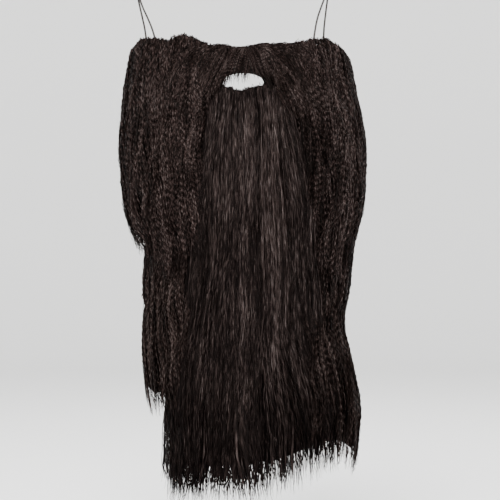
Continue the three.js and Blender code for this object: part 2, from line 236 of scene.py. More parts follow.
def smoothLine(points, steps):
    points = np.array(points, float)
    padded = np.concatenate([[2 * points[0] - points[1]], points, [2 * points[-1] - points[-2]]])
    line = []
    for before, a, b, after in zip(padded, padded[1:], padded[2:], padded[3:]):
        for t in np.arange(steps) / steps:
            near, far = (b - before) / 2, (after - a) / 2
            line.append(
                a * (2 * t**3 - 3 * t**2 + 1) + near * (t**3 - 2 * t**2 + t)
                + b * (3 * t**2 - 2 * t**3) + far * (t**3 - t**2)
            )
    return np.array(line + [points[-1]])


def roundTube(bundle, line, radius, sides):
    ahead = unit(np.gradient(line, axis=0))
    side = unit(np.cross(ahead[0], (1, 0, 0)))
    rings = []
    for way, place in zip(ahead, line):
        side = unit(side - way * np.dot(side, way))
        turns = np.arange(sides) / sides * 2 * math.pi
        ring = np.outer(np.cos(turns), side) + np.outer(np.sin(turns), np.cross(way, side))
        rings.append(place + ring * radius)
    rows = len(line)
    grid = np.arange(rows * sides).reshape(rows, sides)
    beside = np.roll(grid, -1, axis=1)
    walls = np.stack([grid[:-1], beside[:-1], beside[1:], grid[1:]], axis=-1).reshape(-1, 4)
    run = np.concatenate([[0], np.cumsum(np.linalg.norm(np.diff(line, axis=0), axis=1))])
    around = 1 - np.abs(2 * np.arange(sides) / sides - 1)
    places = np.stack(np.broadcast_arrays(around, run[:, None]), axis=-1)
    bundle.add(np.array(rings), [walls, grid[:1, ::-1], grid[-1:]], places)
    return run[-1]


def elasticFinish():
    finish = Finish("elastic", {"Specular IOR Level": 0.35})
    around, along = finish.mapXY("strand")
    rate, turn = loops["braid"]
    weave = finish.sine(along * rate + around * turn) * finish.sine(along * rate - around * turn) * 0.5 + 0.5
    # the braid's colour holds painted shade in its grooves and a painted highlight on its ridges
    dark, light = (tuple(loops[key] * part for part in loops["colour"]) for key in ("dark", "light"))
    finish.feed("Base Color", finish.ramp(weave, [(0, dark), (1, light)]))
    finish.feed("Roughness", 0.75 - weave * 0.2)
    finish.feed("Normal", finish.bump(weave, 0.8, 0.0002))
    return finish


elastic = elasticFinish()
for side, route in loops["routes"].items():
    line = smoothLine(route, loops["smoothing"]) / 1000
    bundle = Bundle()
    length = roundTube(bundle, line, loops["diameter"] / 2, loops["sides"])
    name = "ear_loop_" + side
    loop = bundle.piece(name + "_elastic", elastic, smooth=True)
    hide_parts(name)
    print(name, "is", round(length * 1000), "mm long")


# The beard's form, as the part has it: sizes in metres, and tables of shares of them.
form = {
    "wall": 0.0015,
    "clearance": 0.0003,
    "halfWidth": 0.088,
    "seatDepth": 0.085,
    "topRise": 0.034,
    "chinDrop": 0.072,
    "hairSpread": 0.106,
    "hairStand": 0.037,
    "hairRise": 0.038,
    "hairLength": 0.35,
    "lockWidth": 0.02,
    "thinnest": 0.0012,
    # share of the height, then width, front and back of the seat
    "seatRows": [
        (-1, 0.64, 0.07, 0.86), (-0.6, 0.79, 0.01, 0.93), (-0.25, 0.91, 0, 0.98),
        (0, 0.955, 0, 1), (0.5, 0.985, -0.015, 1), (1.3, 1.01, -0.03, 1),
    ],
    # the same for the back of the hanging hair, from the chin to the hem
    "hangRows": [
        (0, 0.66, -0.16, 0.84), (0.15, 0.68, 0.14, 0.56), (0.45, 0.7, 0.22, 0.3), (1, 0.66, 0.24, 0.16),
    ],
    # share of the height, then left, right, front and back of the hair's outside
    "coverRows": [
        (-1, 0.7, 0.93, 0.58, 0.14), (-0.89, 0.74, 0.95, 0.7, 0.17), (-0.8, 0.8, 0.955, 0.76, 0.2),
        (-0.7, 0.81, 0.89, 0.84, 0.23), (-0.61, 0.81, 0.83, 0.9, 0.26), (-0.5, 0.81, 0.88, 0.95, 0.3),
        (-0.41, 0.82, 0.91, 0.98, 0.38), (-0.33, 0.91, 0.98, 1, 0.5), (-0.28, 0.93, 1.01, 0.99, 0.58),
        (-0.16, 0.965, 1.03, 0.9, 0.78), (-0.07, 0.95, 1, 0.68, 0.92), (0, 0.925, 0.95, 0.46, 0.98),
        (0.6, 0.89, 0.91, 0.3, 0.99), (1, 0.87, 0.885, 0.22, 0.98),
    ],
}


# A function that gives a table's columns, smoothed between its rows.
def smoothTable(rows):
    rows = np.array(rows, float)
    at, values = rows[:, 0], rows[:, 1:]
    rise = np.diff(values, axis=0) / np.diff(at)[:, None]
    slope = np.empty_like(values)
    slope[1:-1] = (values[2:] - values[:-2]) / (at[2:] - at[:-2])[:, None]
    slope[0] = 1.5 * rise[0] - 0.5 * slope[1]
    slope[-1] = 1.5 * rise[-1] - 0.5 * slope[-2]

    def find(x):
        x = np.clip(x, at[0], at[-1])
        i = np.clip(np.searchsorted(at, x, side="right") - 1, 0, len(at) - 2)
        gap = (at[i + 1] - at[i])[..., None]
        t = (x - at[i])[..., None] / gap
        ends = values[i] * (2 * t**3 - 3 * t**2 + 1) + values[i + 1] * (3 * t**2 - 2 * t**3)
        return ends + gap * (slope[i] * (t**3 - 2 * t**2 + t) + slope[i + 1] * (t**3 - t**2))

    return find


seatAt, hangAt, coverAt = (smoothTable(form[name]) for name in ("seatRows", "hangRows", "coverRows"))


def shareOf(height, rise, drop):
    return np.where(height > 0, height / rise, height / drop)


def heightOf(share):
    return np.where(share > 0, share * form["hairRise"], share * form["hairLength"])


def innerSection(height):
    off = form["wall"] + form["clearance"]
    seat = seatAt(shareOf(height, form["topRise"], form["chinDrop"]))
    seat = seat * (form["halfWidth"], form["seatDepth"], form["seatDepth"]) + (off, -off, 0)
    hang = hangAt((-form["chinDrop"] - height) / (form["hairLength"] - form["chinDrop"]))
    hang = hang * (form["halfWidth"], -form["hairStand"], form["seatDepth"])
    return np.where((height >= -form["chinDrop"])[..., None], seat, hang)


def outerSection(height, isLeft):
    row = coverAt(shareOf(height, form["hairRise"], form["hairLength"]))
    width = np.where(isLeft, row[..., 0], row[..., 1]) * form["hairSpread"]
    return np.stack([width, -row[..., 2] * form["hairStand"], row[..., 3] * form["seatDepth"]], axis=-1)


def ovalPoint(section, angle, height):
    width, front, back = np.moveaxis(section, -1, 0)
    return np.stack([width * np.sin(angle), back - (back - front) * np.cos(angle), height], axis=-1)


# A point in the hair, from its back (depth 0) to its outside (depth 1).
def hairPoint(angle, height, depth):
    inside = ovalPoint(innerSection(height), angle, height)
    outside = ovalPoint(outerSection(height, angle < 0), angle, height)
    return inside + (outside - inside) * depth[..., None]


# The way of every lock of a sheet, with its sideways and outward directions and its half width and depth.
class Locks:
    fine = 300

    def __init__(self, sheet):
        t = np.linspace(0, 1, self.fine)
        root, tip, top, low, width = np.array(sheet["locks"], float).T[:, :, None]
        angle = (root + (tip - root) * t ** sheet["sweep"]) * quarterTurn
        top, low = heightOf(top), heightOf(low)
        height = top + (low - top) * t ** sheet["fall"]
        under, over = smoothTable(sheet["layers"])(t).T
        taper = smoothTable(sheet["taper"])(t)
        shape = np.ones_like(angle)
        middle = hairPoint(angle, height, shape * (under + over) / 2)
        outward = hairPoint(angle, height, shape * over) - hairPoint(angle, height, shape * under)
        ahead = unit(np.gradient(middle, axis=1))
        across = unit(np.cross(outward, ahead))
        out = np.cross(ahead, across)
        depth = np.maximum(form["thinnest"], np.linalg.norm(outward, axis=-1) * taper[:, 1]) / 2
        width = width * form["lockWidth"] * taper[:, 0] / 2
        self.length = np.linalg.norm(np.diff(middle, axis=1), axis=-1).sum(axis=1)
        sizes = np.stack([width, depth], axis=-1)
        self.rows = np.concatenate([middle, ahead, across, out, sizes], axis=-1)

    # Middle, ahead, across, out, width and depth for lock numbers and shares of their way.
    def at(self, lock, t):
        place = np.clip(t, 0, 1) * (self.fine - 1)
        row = np.minimum(place.astype(int), self.fine - 2)
        part = (place - row)[..., None]
        found = self.rows[lock, row] * (1 - part) + self.rows[lock, row + 1] * part
        return *np.split(found[..., :12], 4, axis=-1), found[..., 12], found[..., 13]


# The painted shade, and the share of the way, that the inside of the hair gets: dark as if in shade.
innerPaintedShade = (-0.35, 0.1)


# Each lock's heart: a fluted closed loft a little inside the lock, painted dark as shade.
def addHearts(bundle, locks, heart):
    steps, sides = heart["steps"], heart["sides"]
    count = len(locks.rows)
    t = np.linspace(heart["from"], heart["to"], steps + 1)[None, :, None]
    lock = np.arange(count)[:, None, None]
    middle, ahead, across, out, width, depth = locks.at(lock, np.broadcast_to(t, (count, steps + 1, 1)))
    turn = np.arange(sides) / sides * 2 * math.pi
    flute = 1 - heart["flute"] * (np.arange(sides) % 2)
    end = np.clip((heart["to"] - t) / heart["point"], heart["tip"], 1) ** heart["blunt"]
    end = end * heart["fill"] * flute
    across = across * (np.cos(turn) * width * end)[..., None]
    out = out * (np.sin(turn) * depth * end)[..., None]
    points = middle + across + out
    grid = np.arange(count * (steps + 1) * sides).reshape(count, steps + 1, sides)
    beside = np.roll(grid, -1, axis=2)
    walls = np.stack([grid[:, :-1], beside[:, :-1], beside[:, 1:], grid[:, 1:]], axis=-1).reshape(-1, 4)
    around = 1 - np.abs(2 * np.arange(sides) / sides - 1)
    u = np.broadcast_to(lock + 0.1 + 0.8 * around, grid.shape)
    v = np.broadcast_to(t * locks.length[:, None, None], grid.shape)
    inner = np.broadcast_to(innerPaintedShade, (*grid.shape, 2))
    bundle.add(points, [walls, grid[:, 0, ::-1], grid[:, -1]], np.stack([u, v], axis=-1), inner)


# Flat strands along centre lines, half a width to each side. number is the first strand's.
def addRibbons(bundle, centre, half, run, crest, number):
    count, rows = run.shape
    points = np.stack([centre - half, centre + half], axis=2)
    grid = np.arange(count * rows * 2).reshape(count, rows, 2)
    left, right = grid[..., 0], grid[..., 1]
    quads = np.stack([left[:, :-1], right[:, :-1], right[:, 1:], left[:, 1:]], axis=-1).reshape(-1, 4)
    u = np.broadcast_to((number + np.arange(count))[:, None, None] + np.array([0.05, 0.95]), grid.shape)
    v = np.broadcast_to(run[..., None], grid.shape)
    crest = np.broadcast_to(crest[..., None], grid.shape)
    way = np.broadcast_to(np.linspace(0, 1, rows)[None, :, None], grid.shape)
    bundle.add(points, [quads], np.stack([u, v], axis=-1), np.stack([crest, way], axis=-1))
    return number + count


# Strands on the locks. turn is the place round the lock, lift the height over its surface, roll the strand's
# own twist, zig and zag its crimp outwards and sideways. All are strands by steps.
def strandsOnLocks(bundle, locks, lock, t, turn, lift, roll, width, zig, zag, crest, number):
    middle, ahead, across, out, wide, deep = locks.at(lock[:, None], t)
    c, s = np.cos(turn)[..., None], np.sin(turn)[..., None]
    surface = across * c * wide[..., None] + out * s * deep[..., None]
    normal = unit(across * c * deep[..., None] + out * s * wide[..., None])
    beside = np.cross(ahead, normal)
    tilt = beside * np.cos(roll)[..., None] + normal * np.sin(roll)[..., None]
    centre = middle + surface + normal * (lift + zig)[..., None] + beside * zag[..., None]
    run = t * locks.length[lock][:, None]
    return addRibbons(bundle, centre, tilt * (width / 2)[..., None], run, crest, number)


# What all strands share, in metres where it is a size.
strandForm = {
    "uneven": 0.22,  # share of a step
    "crimpStart": 0.01,  # the run over which the crimp grows in
    "crossWave": 0.055,
    "rollSway": (0.2, 0.09),  # how far, in radians, and its wave
    "strayWave": 0.07,
    "looseWave": 0.05,
    "driftWave": 0.08,
    "tip": 0.15,  # share of the width at the end
    "settle": 0.012,  # the run over which a strand rises from its root
    "front": (-22, 224),  # degrees round a lock, start and arc: its outer side, then its inner one
    "behind": (205, 130),
}


# A slow sway for each strand, in the unit of its size.
def sway(dice, count, run, size, wave):
    total = 0
    for share, factor in ((1, 1), (0.5, 2.3)):
        phase = dice.random((count, 1)) * 2 * math.pi
        total = total + share * np.sin(2 * math.pi * run * factor / wave + phase)
    return total * size * dice.uniform(0.5, 1.2, (count, 1))


# Shares of the way for strands of uneven steps, each with its own phase, cut at start and end.
def stepsAlong(hair, dice, length, start, end):
    rows = int(round(float(np.mean(length)) / hair["step"])) + 1
    k = np.arange(rows)[None, :]
    uneven = strandForm["uneven"]
    place = k + dice.uniform(-1, 1, (len(length), 1)) + dice.uniform(-uneven, uneven, (len(length), rows))
    return k, np.clip(place / (rows - 1) * end[:, None], start[:, None], end[:, None])


# Crimp, twist and width of strands, and painted light along the crimp: lighter crests, darker valleys.
def strandShape(hair, dice, k, t, end, length):
    each = (len(t), 1)
    run = t * length[:, None]
    ramp = np.clip(run / strandForm["crimpStart"], 0, 1)
    beat = (1 - 2 * (k % 2)) * ramp * dice.uniform(0.6, 1.25, each) * dice.uniform(0.5, 1.4, t.shape)
    zig = beat * hair["crimp"]
    zag = beat * hair["kink"] * dice.choice([-1, 1], each) * dice.uniform(0.4, 1, each)
    zag = zag + dice.normal(0, hair["spread"], each) * t**4
    zag = zag + sway(dice, len(t), run, hair["cross"], strandForm["crossWave"]) * (0.15 + t**2)
    # painted light along the crimp: lighter on its crests, darker in its valleys
    crest = 0.5 + np.clip(beat, -1, 1) / 2 * hair["paintedCrimpLight"]
    roll = dice.normal(0, hair["roll"], each) + sway(dice, len(t), run, *strandForm["rollSway"])
    left = (end[:, None] - t) * length[:, None]
    tip = strandForm["tip"]
    width = hair["width"] * dice.uniform(0.6, 1.4, each) * np.clip(left / hair["point"] + tip, tip, 1)
    return zig, zag, crest, roll, width


# A tier's strands round each lock, gathered in clumps.
def coverLocks(bundle, locks, hair, dice, number):
    lockCount = len(locks.rows)
    share = locks.length / locks.length.sum() * hair["strands"]
    lock = np.repeat(np.arange(lockCount), np.round(share).astype(int))
    count = len(lock)
    clumps = hair["clumps"]
    key = lock * clumps + dice.integers(0, clumps, count)

    # each clump's own place, end and height
    places = lockCount * clumps
    behind = dice.random(places) < hair["behind"]
    order = (np.tile(np.arange(clumps), lockCount) + dice.random(places)) / clumps
    front, back = strandForm["front"], strandForm["behind"]
    turnOf = np.radians(np.where(behind, back[0] + back[1] * order, front[1] * order + front[0]))
    endOf = hair["ends"][0] + (hair["ends"][1] - hair["ends"][0]) * dice.random(places) ** 0.7
    raiseOf = dice.uniform(0, hair["raise"], places)
    swayOf = dice.random(places) * 2 * math.pi

    length = locks.length[lock]
    end = endOf[key] * (1 - hair["ragged"] * dice.random(count) ** 2)
    start = hair["rootStart"] * (0.5 + dice.random(count)) / length
    k, t = stepsAlong(hair, dice, length, start, end)
    run = t * length[:, None]
    zig, zag, crest, roll, width = strandShape(hair, dice, k, t, end, length)

    # where in its clump a strand lies, narrowing towards the tips
    off = dice.uniform(-1, 1, count)
    pinch = 1 - hair["pinch"] * (t / end[:, None]) ** 3
    half = math.radians(front[1]) / clumps * hair["overlap"]
    turn = turnOf[key][:, None] + off[:, None] * half * pinch
    turn = turn + sway(dice, count, run, hair["stray"], strandForm["strayWave"])
    turn = turn + hair["sway"] * np.sin(2 * math.pi * run / hair["wave"] + swayOf[key][:, None])
    crown = np.sqrt(np.maximum(0, 1 - off**2))[:, None] * hair["crown"]
    lift = raiseOf[key][:, None] + crown + sway(dice, count, run, hair["loose"], strandForm["looseWave"])
    lift = (lift - hair["bury"] * dice.random(count)[:, None]) * np.clip(run / strandForm["settle"], 0.1, 1)
    lift = lift - hair["sink"]
    return strandsOnLocks(bundle, locks, lock, t, turn, lift, roll, width, zig, zag, crest, number)


# The sheet of strands over a tier, and the lining below it, a slab painted dark as shade.
veilForm = {
    "rootShare": 0.3,  # of rootStart
    "fullRun": 0.05,  # the run over which the sheet leaves the outermost hair, and the painted light patches grow in
    "flowStart": 0.03,
    "rootShadeRun": 0.018,
    "dipPush": 0.35,  # share of a dip's depth by which strands move apart
    "dipShade": 120,  # painted shade: darkening for each metre of depth
    "lining": (0.07, 0.935),  # shares of the way
    "liningMargin": 0.2,  # in locks
    "liningUnder": 0.0026,
    "liningWall": 0.001,
    "liningNumber": -20.5,  # stands for a strand's number
}


# A closed slab between two grids of points, painted dark as shade: the lining.
def addSlab(bundle, front, back, run):
    columns, rows = run.shape
    grid = np.arange(2 * columns * rows).reshape(2, columns, rows)
    quads = []
    for layer, step in ((grid[0], 1), (grid[1], -1)):
        corners = (layer[:-1, :-1], layer[1:, :-1], layer[1:, 1:], layer[:-1, 1:])[::step]
        quads.append(np.stack(corners, axis=-1).reshape(-1, 4))
    rim = np.concatenate([
        np.arange(columns) * rows, (columns - 1) * rows + np.arange(1, rows),
        (np.arange(columns - 1) * rows + rows - 1)[::-1], np.arange(1, rows - 1)[::-1],
    ])
    ahead = np.roll(rim, -1)
    quads.append(np.stack([rim, rim + columns * rows, ahead + columns * rows, ahead], axis=-1))
    u = np.full(grid.shape, veilForm["liningNumber"])
    inner = np.broadcast_to(innerPaintedShade, (*grid.shape, 2))
    places = np.stack([u, np.broadcast_to(run, grid.shape)], axis=-1)
    bundle.add(np.stack([front, back]), quads, places, inner)


# Short dips where locks part: place across, run, half width, half length, depth and lean.
def makeDips(hair, dice, lowest, highest):
    count, deep, wide, long, reach = hair["dips"]
    return np.stack([
        dice.uniform(lowest, highest, count), dice.uniform(0.01, reach, count),
        wide * dice.uniform(0.6, 1.5, count), long * dice.uniform(0.6, 1.6, count),
        deep * dice.uniform(0.4, 1.3, count), dice.normal(0, 0.25, count),
    ], axis=-1)


# How deep the dips are at places on a sheet, and how far strands move aside there.
def dipsAt(dips, across, run):
    dip, push = 0 * run, 0 * run
    for place, middle, wide, long, deep, lean in dips:
        x = (across - place - lean * (run - middle) / long) / wide
        near = np.exp(-(x**2) - ((run - middle) / long) ** 2)
        dip = dip + deep * near
        push = push + veilForm["dipPush"] * deep * x * near
    return dip, push


# A tier's outer surface as one sheet over its locks. across is a strand's place, counted in locks.
def addVeil(bundle, sheet, hair, dice, number):
    locks = np.array(sheet["veilLocks"], float)
    lowest, highest = -0.5, len(locks) - 0.5
    first, last = 1.5 * locks[0] - 0.5 * locks[1], 1.5 * locks[-1] - 0.5 * locks[-2]
    places = np.concatenate([[lowest], np.arange(len(locks)), [highest]])
    locks = np.concatenate([[first], locks, [last]])
    side = np.sign(last[0] - first[0])
    ownDips = np.reshape(sheet.get("dips", []), (-1, 6))
    dips = np.concatenate([makeDips(hair, dice, lowest, highest), ownDips])

    # where strands start and end in height, and how long they are
    def reachOf(across, stray):
        top, low = (heightOf(np.interp(across, places, locks[:, i])) for i in (2, 3))
        return top + stray, low, np.abs(top + stray - low) * sheet["stretch"]

    # the sheet at places across and shares of the way. A strand starts behind the top edge and curls over it.
    def surface(across, t, stray):
        root, tip = (np.interp(across, places, locks[:, i]) for i in (0, 1))
        top, low, length = reachOf(across, stray)
        run = t * length
        curl = np.clip(run / hair["curl"], 0, 1) * quarterTurn
        past = np.clip((run - hair["curl"]) / (length - hair["curl"]), 0, 1.2)
        angle = (root + (tip - root) * t ** sheet["sweep"]) * quarterTurn
        height = top + (low - top) * past ** sheet["fall"] - hair["curlDrop"] * (1 - np.sin(curl))
        under, over = np.moveaxis(smoothTable(sheet["layers"])(t), -1, 0)
        fill = smoothTable(sheet["taper"])(t)[..., 1]
        full = np.maximum(0.5 + fill / 2, 1 - run / veilForm["fullRun"])
        share = ((under + over) / 2 + (over - under) / 2 * full) * (1 - 0.9 * np.cos(curl))
        point = hairPoint(angle, height, share)
        out = unit(hairPoint(angle, height, share + 0.1) - hairPoint(angle, height, share - 0.1))
        ahead = unit(np.gradient(point, axis=1) + 1e-9)
        beside = unit(np.cross(out, ahead))

        # partings and short dips between locks, and the puff where the hair stands off
        dip, push = dipsAt(dips, across, run)
        for place, deep, half in sheet.get("partings", []):
            dip = dip + deep * np.exp(-(((across - place) / half) ** 2))
        puff = np.interp(t, *np.array(sheet.get("puff", [(0, 0), (1, 0)])).T)
        lift = sheet.get("raise", 0) + puff * np.sin(curl) * np.abs(np.sin(angle)) ** 2
        return point, np.cross(ahead, beside), beside, run, lift, dip, push * side

    if "lining" in sheet:
        columns, rows = sheet["lining"]
        margin = veilForm["liningMargin"]
        across = np.linspace(lowest + margin, highest - margin, columns)[:, None]
        t = np.linspace(*veilForm["lining"], rows)[None, :] + 0 * across
        point, out, beside, run, lift, dip, push = surface(across + 0 * t, t, 0)
        front = point + out * (lift - dip - veilForm["liningUnder"])[..., None]
        addSlab(bundle, front, front - out * veilForm["liningWall"], run)

    count = hair["veil"]
    clumps = hair["veilClumps"]
    key = dice.integers(0, clumps, count)
    centreOf = (np.arange(clumps) + dice.random(clumps)) / clumps
    across = centreOf[key] + dice.normal(0, 0.7 / clumps, count)
    across = (lowest + (highest - lowest) * np.clip(across, 0, 1))[:, None]
    stray = dice.normal(0, hair["rootStray"], (count, 1))
    length = reachOf(across, stray)[2][:, 0]
    endOf = hair["ends"][0] + (hair["ends"][1] - hair["ends"][0]) * dice.random(clumps) ** 0.7
    end = endOf[key] * (1 - hair["ragged"] * dice.random(count) ** 2)
    start = veilForm["rootShare"] * hair["rootStart"] * dice.random(count) / length
    k, t = stepsAlong(hair, dice, length, start, end)
    zig, zag, crest, roll, width = strandShape(hair, dice, k, t, end, length)
    point, out, beside, run, lift, dip, push = surface(across + 0 * t, t, stray)

    # a shallow groove between locks and a low swell for each clump
    nearest = np.abs(across - np.round(across)) * 2
    swell = dice.uniform(-1, 1, clumps)[key][:, None] * hair["swell"]
    loose = sway(dice, count, run, hair["loose"], strandForm["looseWave"])
    lift = lift - dip + swell - hair["groove"] * nearest**3 + loose
    lift = (lift - hair["bury"] * dice.random(count)[:, None]) * np.clip(run / strandForm["settle"], 0.1, 1)

    # painted shade in the dips and partings and at the roots, painted light on given patches
    rootShade = sheet.get("rootShade", 0) * np.exp(-((run / veilForm["rootShadeRun"]) ** 2))
    crest = crest - dip * veilForm["dipShade"] - rootShade
    # painted light: given patches across the sheet are lighter
    for place, half, patchLight in sheet.get("paintedLightPatches", []):
        near = np.exp(-(((across - place) / half) ** 2))
        crest = crest + patchLight * near * np.clip(run / veilForm["fullRun"], 0, 1)

    # sideways drift of strands, clumps and whole locks
    drift = push + sway(dice, count, run, hair["drift"], strandForm["driftWave"])
    swayOf = dice.random(clumps) * 2 * math.pi
    drift = drift + hair["clumpDrift"] * np.sin(2 * math.pi * run / hair["wave"] + swayOf[key][:, None])
    for size, wave, turn in hair["flows"]:
        flow = np.sin(2 * math.pi * (run / wave + across * turn))
        drift = drift + size * np.clip(run / veilForm["flowStart"], 0, 1) * flow
    centre = point + out * (lift + zig)[..., None] + beside * (drift + zag)[..., None]
    tilt = beside * np.cos(roll)[..., None] + out * np.sin(roll)[..., None]
    return addRibbons(bundle, centre, tilt * (width / 2)[..., None], run, crest, number)


# Thin stray hairs that leave the locks' surface and float beside it.
def addFlyaways(bundle, locks, fly, dice, number):
    count, rows = fly["count"], fly["rows"]
    lock = dice.integers(0, len(locks.rows), count)
    if "outerLock" in fly:
        lock = np.where(dice.random(count) < fly["outerShare"], fly["outerLock"], lock)
    length = locks.length[lock]
    begin = dice.uniform(fly["from"], fly["to"], count)
    reach = dice.uniform(*fly["length"], count) / length
    share = np.linspace(0, 1, rows)[None, :]
    t = np.clip(begin[:, None] + reach[:, None] * share, 0, 1)
    turn = math.radians(-30) + dice.random(count) * math.radians(240)
    turn = turn[:, None] + dice.normal(0, 0.5, (count, 1)) * share
    lift = dice.uniform(*fly["peel"], (count, 1)) * share**1.4 + 0.0006
    zig = sway(dice, count, t * length[:, None], fly["curl"], 0.008)
    width = fly["width"] * (1.05 - share) ** 0.4 * np.ones((count, 1))
    roll = dice.uniform(-1.2, 1.2, (count, 1)) * np.ones((1, rows))
    zag = sway(dice, count, t * length[:, None], fly["curl"], 0.009)
    return strandsOnLocks(bundle, locks, lock, t, turn, lift, roll, width, zig, zag, 0.5 + 0 * t, number)


# Synthetic hair: every strand has its own tone and fine lines along it, and whole bands are lighter or darker.
# Painted light and shade also go into the colour.
def hairFinish(name, look):
    finish = Finish(name, {"Specular IOR Level": look["gloss"], "Specular Tint": (1, 0.82, 0.76, 1)})
    number, along = finish.mapXY("strand")
    strand = finish.node("ShaderNodeMath", {"operation": "FLOOR"}, {0: number})
    tone = finish.node("ShaderNodeTexWhiteNoise", {"noise_dimensions": "1D"}, {"W": strand})
    lines = finish.noise(finish.vector(number * 5, along * look["lineRate"], tone * 50), 1, 3, 0.6)
    place = finish.node("ShaderNodeTexCoord", None, None, 3)
    drawn = finish.node("ShaderNodeVectorMath", {"operation": "MULTIPLY"}, {0: place, 1: look["bandScale"]})
    band = finish.noise(drawn, 1, 2, 0.6)
    crest, way = finish.mapXY("crest")
    # the strands' own tone, lines and bands, with painted light and shade from the second map and painted shade
    # darker towards the tips
    shade = (tone - 0.5) * look["tone"] + lines * 0.3 + (band - 0.5) * look["band"]
    shade = shade + (crest - 0.5) * look["crest"] - way * look["paintedTipShade"]
    shade = shade + look["base"]
    # light and glint serve the strands' paler tone and painted highlight
    stops = [(0.34, look["dark"]), (0.52, look["middle"]), (0.7, look["light"]), (0.86, look["glint"])]
    finish.feed("Base Color", finish.ramp(shade, stops))
    finish.feed("Roughness", look["roughness"] + lines * 0.2 - crest * 0.2)
    finish.feed("Normal", finish.bump(lines, look["bump"], 0.0003))
    return finish


# Hair looks. The light and glint colours are partly the strands' paler tone and partly painted highlight.
looks = {
    "crimped": {
        "dark": (0.0008, 0.0005, 0.0004), "middle": (0.0042, 0.0025, 0.0022), "light": (0.016, 0.0102, 0.0092),
        "glint": (0.037, 0.028, 0.026), "gloss": 0.03,
        "roughness": 0.46, "lineRate": 60, "bandScale": (110, 110, 30),
        "base": 0.365, "tone": 0.35, "band": 0.6, "crest": 0.5, "paintedTipShade": 0.05, "bump": 0.5,
    },
    "under": {
        "dark": (0.0007, 0.0004, 0.0003), "middle": (0.0035, 0.0021, 0.0018), "light": (0.013, 0.0082, 0.0072),
        "glint": (0.032, 0.024, 0.022), "gloss": 0.03,
        "roughness": 0.5, "lineRate": 50, "bandScale": (110, 110, 26),
        "base": 0.4, "tone": 0.35, "band": 0.6, "crest": 0.45, "paintedTipShade": 0, "bump": 0.5,
    },
    "straight": {
        "dark": (0.0009, 0.0005, 0.0005), "middle": (0.0046, 0.003, 0.0027), "light": (0.0175, 0.0122, 0.0112),
        "glint": (0.037, 0.029, 0.0272), "gloss": 0.035,
        "roughness": 0.46, "lineRate": 110, "bandScale": (180, 180, 18),
        "base": 0.355, "tone": 0.46, "band": 0.62, "crest": 0.34, "paintedTipShade": 0.12, "bump": 0.4,
    },
    "moustache": {
        "dark": (0.0008, 0.0005, 0.0004), "middle": (0.0035, 0.0021, 0.0018), "light": (0.014, 0.009, 0.008),
        "glint": (0.038, 0.029, 0.027), "gloss": 0.03,
        "roughness": 0.46, "lineRate": 35, "bandScale": (90, 90, 60),
        "base": 0.345, "tone": 0.4, "band": 0.6, "crest": 0.4, "paintedTipShade": 0, "bump": 0.45,
    },
}
finishes = {name: hairFinish("hair_" + name, look) for name, look in looks.items()}

# How a lock's width and depth change from root to tip, and how deep in the hair each kind lies (under, over).
tapers = {
    "straight": [(0, 0.95, 0.5), (0.2, 1, 1), (0.75, 0.94, 0.9), (0.92, 0.74, 0.6), (1, 0.5, 0.25)],
    "fan": [(0, 0.6, 0.5), (0.2, 0.66, 1), (0.8, 1.3, 0.95), (0.93, 1.3, 0.7), (1, 1.15, 0.4)],
    "full": [(0, 0.95, 0.5), (0.2, 1, 1), (0.75, 1.1, 0.95), (0.92, 1.1, 0.8), (1, 0.95, 0.5)],
}
layers = {
    "moustache": [(0, 0, 0.95), (0.3, 0.35, 1), (1, 0.6, 0.95)],
    "cheek": [(0, 0.05, 0.95), (0.25, 0.25, 1), (0.55, 0.5, 1), (1, 0.6, 0.9)],
    "under": [(0, 0, 0.4), (0.3, 0.05, 0.48), (0.5, 0.1, 0.85), (0.7, 0.15, 1), (1, 0.35, 0.85)],
    "chinFront": [(0, 0.1, 0.9), (0.2, 0.45, 1), (1, 0.45, 0.95)],
    "chinBack": [(0, 0, 0.5), (0.2, 0.02, 0.5), (0.7, 0.12, 0.6), (1, 0.3, 0.75)],
}

# Settings of each kind of hair, in metres where they are sizes.
crimpedHair = {
    "strands": 300, "clumps": 13, "behind": 0.35, "step": 0.0032, "crimp": 0.0004, "kink": 0.00045,
    "paintedCrimpLight": 1, "width": 0.0008, "rootStart": 0.008, "ends": (0.98, 1.03), "ragged": 0.1, "pinch": 0.2,
    "overlap": 1, "stray": 0.05, "sway": 0.05, "wave": 0.08, "crown": 0.0004, "raise": 0.0006,
    "loose": 0.0005, "bury": 0.0012, "sink": 0.0012, "roll": 0.5, "point": 0.012, "veilClumps": 220,
    "swell": 0.0006, "groove": 0.0006, "drift": 0.0012, "clumpDrift": 0.0008,
    "spread": 0.002, "cross": 0.0006, "rootStray": 0.0008, "curl": 0.009, "curlDrop": 0.005,
    "flows": [(0.0022, 0.085, 0.31), (0.001, 0.046, 0.7)],
    "dips": (34, 0.0026, 0.2, 0.011, 0.19),  # how many, depth, half width in locks, half length, how far down
}
straightHair = {
    "strands": 260, "clumps": 14, "behind": 0.2, "step": 0.0075, "crimp": 0.0002, "kink": 0.00026,
    "paintedCrimpLight": 0.9, "width": 0.0006, "rootStart": 0.004, "ends": (1.0, 1.022), "ragged": 0.06, "pinch": 0.1,
    "overlap": 1, "stray": 0.025, "sway": 0.03, "wave": 0.2, "crown": 0.0003, "raise": 0.0006,
    "loose": 0.0004, "bury": 0.0008, "sink": 0.001, "roll": 0.5, "point": 0.02,
    "swell": 0.0007, "groove": 0.0008, "drift": 0.0006, "clumpDrift": 0.0006,
    "spread": 0.0045, "cross": 0.0014, "rootStray": 0.0008, "curl": 0.007, "curlDrop": 0.003,
    "flows": [(0.0012, 0.16, 0.23)],
    "dips": (30, 0.0016, 0.09, 0.03, 0.33),
}
heart = {
    "steps": 26, "sides": 12, "from": 0.03, "to": 0.9, "flute": 0.08, "point": 0.25, "fill": 0.84,
    "tip": 0.08, "blunt": 0.7,
}
